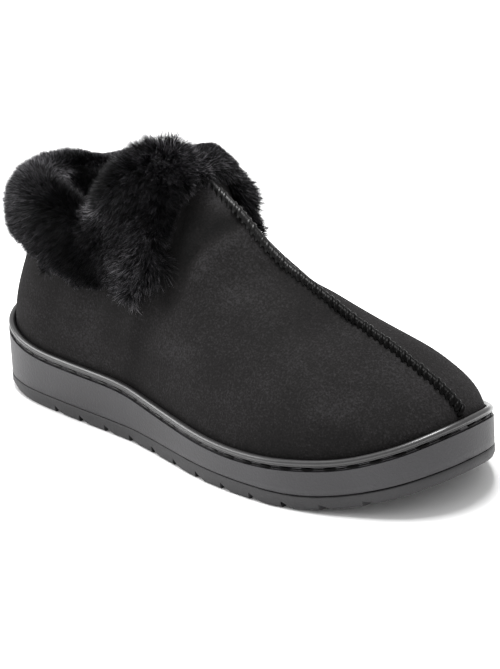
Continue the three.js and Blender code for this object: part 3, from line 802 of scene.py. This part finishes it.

# %% [markdown]
# ## The fur cuff: hairs
# Each hair is a thin ribbon of two steps that tapers to a point. The hairs stand out from the
# backing, and are combed a little away from the fold, so they hang down outside and inside.
# Neighbours lean the same way, in small locks. Most hairs are black, and some have grey tips. Along
# the edge of each lobe the fold breaks the pile open, and the tips there are painted lighter as
# painted highlight, while the hollows between are painted darker as painted shade. All draws come
# from one seeded generator. No hair grows where the pile is thinner than a bare gap, and all grow
# from a full range above it, both in millimetres.

# %% Roots on the backing
draw = np.random.default_rng(7)
hair_count = 270000
bare_gap, full_gap_range = 1.6, 1.5
mesh = backing.data
mesh.calc_loop_triangles()
corners = np.array([t.vertices[:] for t in mesh.loop_triangles])
rows = points_of(mesh)
root_normals = normals_of(mesh)
a, b, c = rows[corners[:, 0]], rows[corners[:, 1]], rows[corners[:, 2]]
areas = np.linalg.norm(np.cross(b - a, c - a), axis=1) / 2
open_share = np.clip((gap[corners].mean(axis=1) / MM - bare_gap) / full_gap_range, 0, 1)
weights = areas * open_share
picked = draw.choice(len(corners), hair_count, p=weights / weights.sum())
u, v = draw.random(hair_count), draw.random(hair_count)
over = u + v > 1
u[over], v[over] = 1 - u[over], 1 - v[over]
w = 1 - u - v
print("haired area:", round(float(weights.sum()) * 1e4), "cm2,", hair_count, "hairs")

# %% [markdown]
# Each root lies at a drawn place in a drawn triangle, so the triangle's corners give it its place,
# its normal and the depth of the pile there.


# %% Place, normal and depth of each root
def unit(vectors):
    """Vectors of length one in the same directions."""
    return vectors / np.maximum(np.linalg.norm(vectors, axis=-1, keepdims=True), 1e-9)


corner_shares = list(enumerate((w, u, v)))
roots = a[picked] * w[:, None] + b[picked] * u[:, None] + c[picked] * v[:, None]
outward = unit(sum(root_normals[corners[picked, k]] * share[:, None] for k, share in corner_shares))
pile_depth = sum(gap[corners[picked, k]] * share for k, share in corner_shares)
print("pile: deepest", round(float(pile_depth.max()) / MM, 1), "mm")

# %% [markdown]
# The comb is the way that the hairs are stroked: down along the backing, and away from the collar's
# middle on the outside of the fold.

# %% Comb
collar_middle = np.array([-70, -1]) * MM
outward_comb, turn_sharpness, turn_shift = 0.5, 2, 0.4
down = np.array([0.0, 0.0, -1.0])
beside = np.zeros_like(roots)
beside[:, :2] = roots[:, :2] - collar_middle
beside = unit(beside)
faces_out = (outward * beside).sum(axis=1) * turn_sharpness + turn_shift
faces_out = np.clip(faces_out, -1, 1)[:, None]
comb = down + beside * outward_comb * faces_out
comb = unit(comb - outward * (comb * outward).sum(axis=1)[:, None])
print("combed outwards:", round(float((faces_out > 0).mean()), 2), "of the hairs")

# %% [markdown]
# A trim makes the pile longer or shorter than elsewhere, as a share: proud on the front lobe's
# fold, short along the free edge. Then each hair leans to the nearest of a coarser set of roots,
# which gathers the hairs in locks.

# %% Trims
trims = [
    {"seen": [(20, 246), (41, 264), (62, 280), (86, 288), (108, 290)], "width": 6.0, "longer": -0.5},
    {"seen": [(186, 205), (180, 235)], "width": 5.0, "longer": -0.3},
    {"seen": [(166, 276), (156, 290), (146, 302)], "width": 5.0, "longer": 0.3},
    {"seen": [(174, 238), (170, 258), (163, 278)], "width": 7.0, "longer": 0.6},
    {"seen": [(150, 146), (166, 138), (182, 137)], "width": 6.0, "longer": 0.35},
    {"seen": [(198, 138), (214, 143), (228, 152)], "width": 7.0, "longer": -0.75},
    {"seen": [(246, 186), (254, 204), (256, 226)], "width": 6.0, "longer": 0.7},
    {"seen": [(98, 150), (110, 152), (119, 155)], "width": 9.0, "longer": -0.8},
    {"seen": [(112, 292), (128, 304), (142, 304)], "width": 6.0, "longer": 0.2},
    {"seen": [(122, 166), (106, 190), (98, 212), (102, 238)], "width": 6.0, "longer": -0.6},
    {"seen": [(62, 286), (66, 300)], "width": 6.0, "longer": -0.6},
]
print("trims:", len(trims))

# %% Locks and hair lengths
lock_count = 7000
shortest_hair, depth_share = 4.2 * MM, 0.5
lock_lengths, hair_lengths = (0.86, 1.1), (0.75, 1.08)
lock_roots = roots[:lock_count]
tree = KDTree(lock_count)
for i, lock_root in enumerate(lock_roots):
    tree.insert(lock_root, i)
tree.balance()
lock_of = np.array([tree.find(root)[1] for root in roots])
lock_lean = unit(draw.normal(size=(lock_count, 3)))
lock_length = draw.uniform(*lock_lengths, lock_count)
length = (shortest_hair + depth_share * pile_depth) * lock_length[lock_of]
length *= draw.uniform(*hair_lengths, hair_count)
for trim in trims:
    line = seen_line(cuff_surface, trim["seen"])
    length *= 1 + trim["longer"] * nearness(roots, line, trim["width"])
print("locks:", lock_count, "hair length", round(float(length.mean()) / MM, 1), "mm")

# %% [markdown]
# A hair starts out straight from the backing, with a little comb and chance, and bends over at half
# its length. Its tip is drawn a little to the tip of its lock. The ribbon follows the smooth curve
# through these three points.

# %% Hair shapes
half_width = 0.11 * MM
start_comb, start_stray = 0.2, 0.2
end_outward, end_comb, end_lean, end_stray = 0.8, 0.5, 0.25, 0.25
gather_share, gather_width = 0.15, 1.6 * MM
stations = [(0.0, 1.0), (0.55, 0.85), (1.0, 0.0)]
hair_faces = [(0, 1, 3, 2), (2, 3, 4)]
stray = unit(draw.normal(size=roots.shape))
start_way = unit(outward + comb * start_comb + stray * start_stray)
end_way = unit(outward * end_outward + comb * end_comb
               + lock_lean[lock_of] * end_lean + stray * end_stray)
bend = roots + start_way * (length * 0.5)[:, None]
tips = bend + end_way * (length * 0.5)[:, None]
lock_tip = tips[:lock_count][lock_of]
from_lock = np.linalg.norm(lock_roots[lock_of] - roots, axis=1)
tips += (lock_tip - tips) * (gather_share * np.exp(-(from_lock / gather_width) ** 2))[:, None]
side_way = unit(np.cross(end_way, unit(draw.normal(size=roots.shape))))
columns = []
for share, wide in stations:
    centre = roots * (1 - share) ** 2 + bend * 2 * share * (1 - share) + tips * share ** 2
    if wide:
        columns += [centre - side_way * half_width * wide, centre + side_way * half_width * wide]
    else:
        columns += [centre]
hairs = np.stack(columns, axis=1)
print("hair points:", hairs.shape[0] * hairs.shape[1])

# %% [markdown]
# Each hair has a greyness, drawn so that most are dark. A line of painted light makes the hairs
# along it lighter, as painted highlight, or darker, as painted shade, by a share. The tone goes from
# black at the root to the greyness at the tip.

# %% Hair tones
# Painted highlight on the lobes' broken rims and along the cuff's top, and painted shade in the
# hollows of the lobes and in the opening between them.
painted_light_lines = [
    {"seen": [(62, 178), (77, 192), (94, 210)], "width": 3.0, "lighter": 7.0},
    {"seen": [(131, 157), (113, 172), (104, 190), (99, 205), (101, 216)],
     "width": 2.8, "lighter": 3.6},
    {"seen": [(101, 224), (104, 243), (112, 257), (127, 268)], "width": 2.2, "lighter": 2.2},
    {"seen": [(22, 172), (40, 158), (70, 151), (104, 154)], "width": 9.0, "lighter": 1.2},
    {"seen": [(10, 218), (20, 190), (40, 176)], "width": 9.0, "lighter": 0.2},
    {"seen": [(114, 272), (128, 286), (142, 302)], "width": 7.0, "lighter": 0.5},
    {"seen": [(150, 240), (148, 285)], "width": 8.0, "lighter": 0.4},
    {"seen": [(158, 160), (182, 150), (205, 165)], "width": 6.0, "lighter": 1.1},
    {"seen": [(52, 210), (66, 236), (84, 262)], "width": 11.0, "lighter": -0.75},
    {"seen": [(136, 172), (130, 204)], "width": 7.0, "lighter": -0.5},
    {"seen": [(166, 188), (166, 230), (160, 262)], "width": 8.0, "lighter": -0.5},
    {"seen": [(86, 172), (96, 182), (106, 178)], "width": 9.0, "lighter": -0.8},
]
lightest, darkening, lock_tones = 1.5, 3, (0.7, 1.2)
greyness = lightest * draw.random(hair_count) ** darkening
greyness *= draw.uniform(*lock_tones, lock_count)[lock_of]
for painted_line in painted_light_lines:
    line = seen_line(cuff_surface, painted_line["seen"])
    greyness *= 1 + painted_line["lighter"] * nearness(roots, line, painted_line["width"])
tone_shares = np.array([0.02, 0.02, 0.4, 0.4, 1.0])
tones = np.clip(tone_shares[None, :] * greyness[:, None], 0, 1)
print("shades:", len(painted_light_lines), "mean tip tone", round(float(tones[:, -1].mean()), 2))

# %% [markdown]
# The hairs are split into equal pieces, one after another round the cuff, so that none holds too
# many triangles.


# %% Hair pieces
def hair_piece(name, chosen):
    """One mesh of the chosen hairs, with a tone for each point."""
    count = len(chosen)
    points = hairs[chosen].reshape(-1, 3)
    order = np.arange(count)
    four, three = (len(face) for face in hair_faces)
    shift = (order * hairs.shape[1])[:, None]
    loops = np.concatenate([(shift + np.array(face)).ravel() for face in hair_faces])
    starts = np.concatenate([order * four, count * four + order * three])
    mesh = bpy.data.meshes.new(name)
    mesh.vertices.add(len(points))
    mesh.vertices.foreach_set("co", points.ravel())
    mesh.loops.add(len(loops))
    mesh.loops.foreach_set("vertex_index", loops)
    mesh.polygons.add(len(starts))
    mesh.polygons.foreach_set("loop_start", starts)
    mesh.update(calc_edges=True)
    mesh.validate()
    layer = mesh.attributes.new("tone", "FLOAT", "POINT")
    layer.data.foreach_set("value", tones[chosen].ravel())
    piece = bpy.data.objects.new(name, mesh)
    bpy.context.scene.collection.objects.link(piece)
    finish_piece(piece, fur, 180)


piece_count = 5
bearing = np.arctan2(beside[:, 1], beside[:, 0])
for k, chosen in enumerate(np.array_split(np.argsort(bearing), piece_count)):
    hair_piece(f"fur_hairs_{k + 1}", chosen)

# %% [markdown]
# ## Floor and light
# The slipper stands on plain white paper in a white room. A soft box above and a larger one at the
# left shape it, and the room's own white fills the shadows. The picture is exposed until the paper
# is white, so that only the shadow under the toe shows on it.

# %% Floor and room
bpy.ops.object.select_all(action="DESELECT")
bpy.ops.mesh.primitive_plane_add(size=6.0, location=(0, 0, 0))
floor = bpy.context.object
floor.name = "studio_floor"
floor_paper, shader = new_material("white studio paper")
shader.inputs["Base Color"].default_value = linear("#ffffff")
shader.inputs["Roughness"].default_value = 0.8
floor.data.materials.append(floor_paper)

room_strength, exposure = 0.5, 0.6
world = bpy.data.worlds.new("white room")
bpy.context.scene.world = world
world.use_nodes = True
background = world.node_tree.nodes["Background"]
background.inputs["Color"].default_value = linear("#ffffff")
background.inputs["Strength"].default_value = room_strength
bpy.context.scene.view_settings.view_transform = "Standard"
bpy.context.scene.view_settings.exposure = exposure


def soft_box(name, place, target, size, power):
    """A square area light that faces a target."""
    light = bpy.data.lights.new(name, "AREA")
    light.size = size
    light.energy = power
    box = bpy.data.objects.new(name, light)
    bpy.context.scene.collection.objects.link(box)
    box.location = place
    box.rotation_euler = (Vector(target) - Vector(place)).to_track_quat("-Z", "Y").to_euler()


soft_box("top box", place=(-0.12, 0.08, 1.3), target=(0, 0, 0.05), size=0.6, power=16)
soft_box("left box", place=(-1.2, -0.6, 0.8), target=(-0.05, 0, 0.05), size=0.7, power=8)
print("lights:", len(bpy.data.lights), "and the room")
